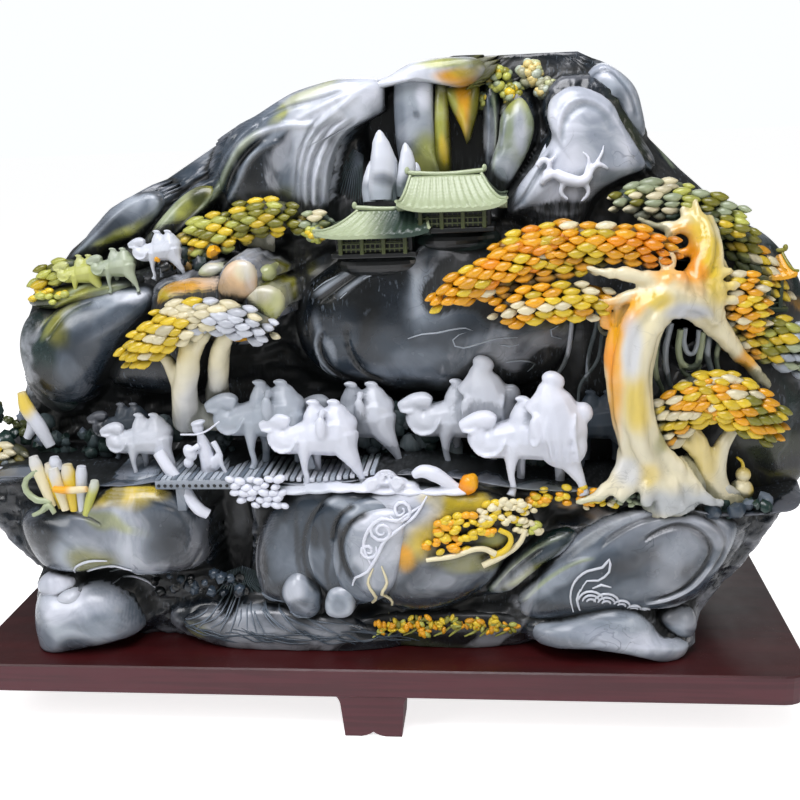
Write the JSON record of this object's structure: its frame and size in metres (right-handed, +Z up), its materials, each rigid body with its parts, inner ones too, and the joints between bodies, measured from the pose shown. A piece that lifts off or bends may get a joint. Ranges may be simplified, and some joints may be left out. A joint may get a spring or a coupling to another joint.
{
  "type": "carved stone boulder",
  "caption": "Mountain landscape carved from one banded stone boulder, with a camel caravan, pine and pavilions in relief, on a low lacquered wooden stand. A display ornament.",
  "frame": {"origin": "on the table, under the middle of the stand", "axes": "+X to the right along the carving's length, -Y towards the viewer of the carved face, +Z up"},
  "size_m": [0.8394, 0.32, 0.6303],
  "materials": {
    "banded_stone": "polished",
    "lacquered_wood": "gloss lacquer"
  },
  "bodies": {
    "root": {"carved_stone": "banded_stone", "stand_board": "lacquered_wood", "foot_front": "lacquered_wood", "foot_back": "lacquered_wood", "foot_left": "lacquered_wood", "foot_right": "lacquered_wood"}
  },
  "joints": []
}
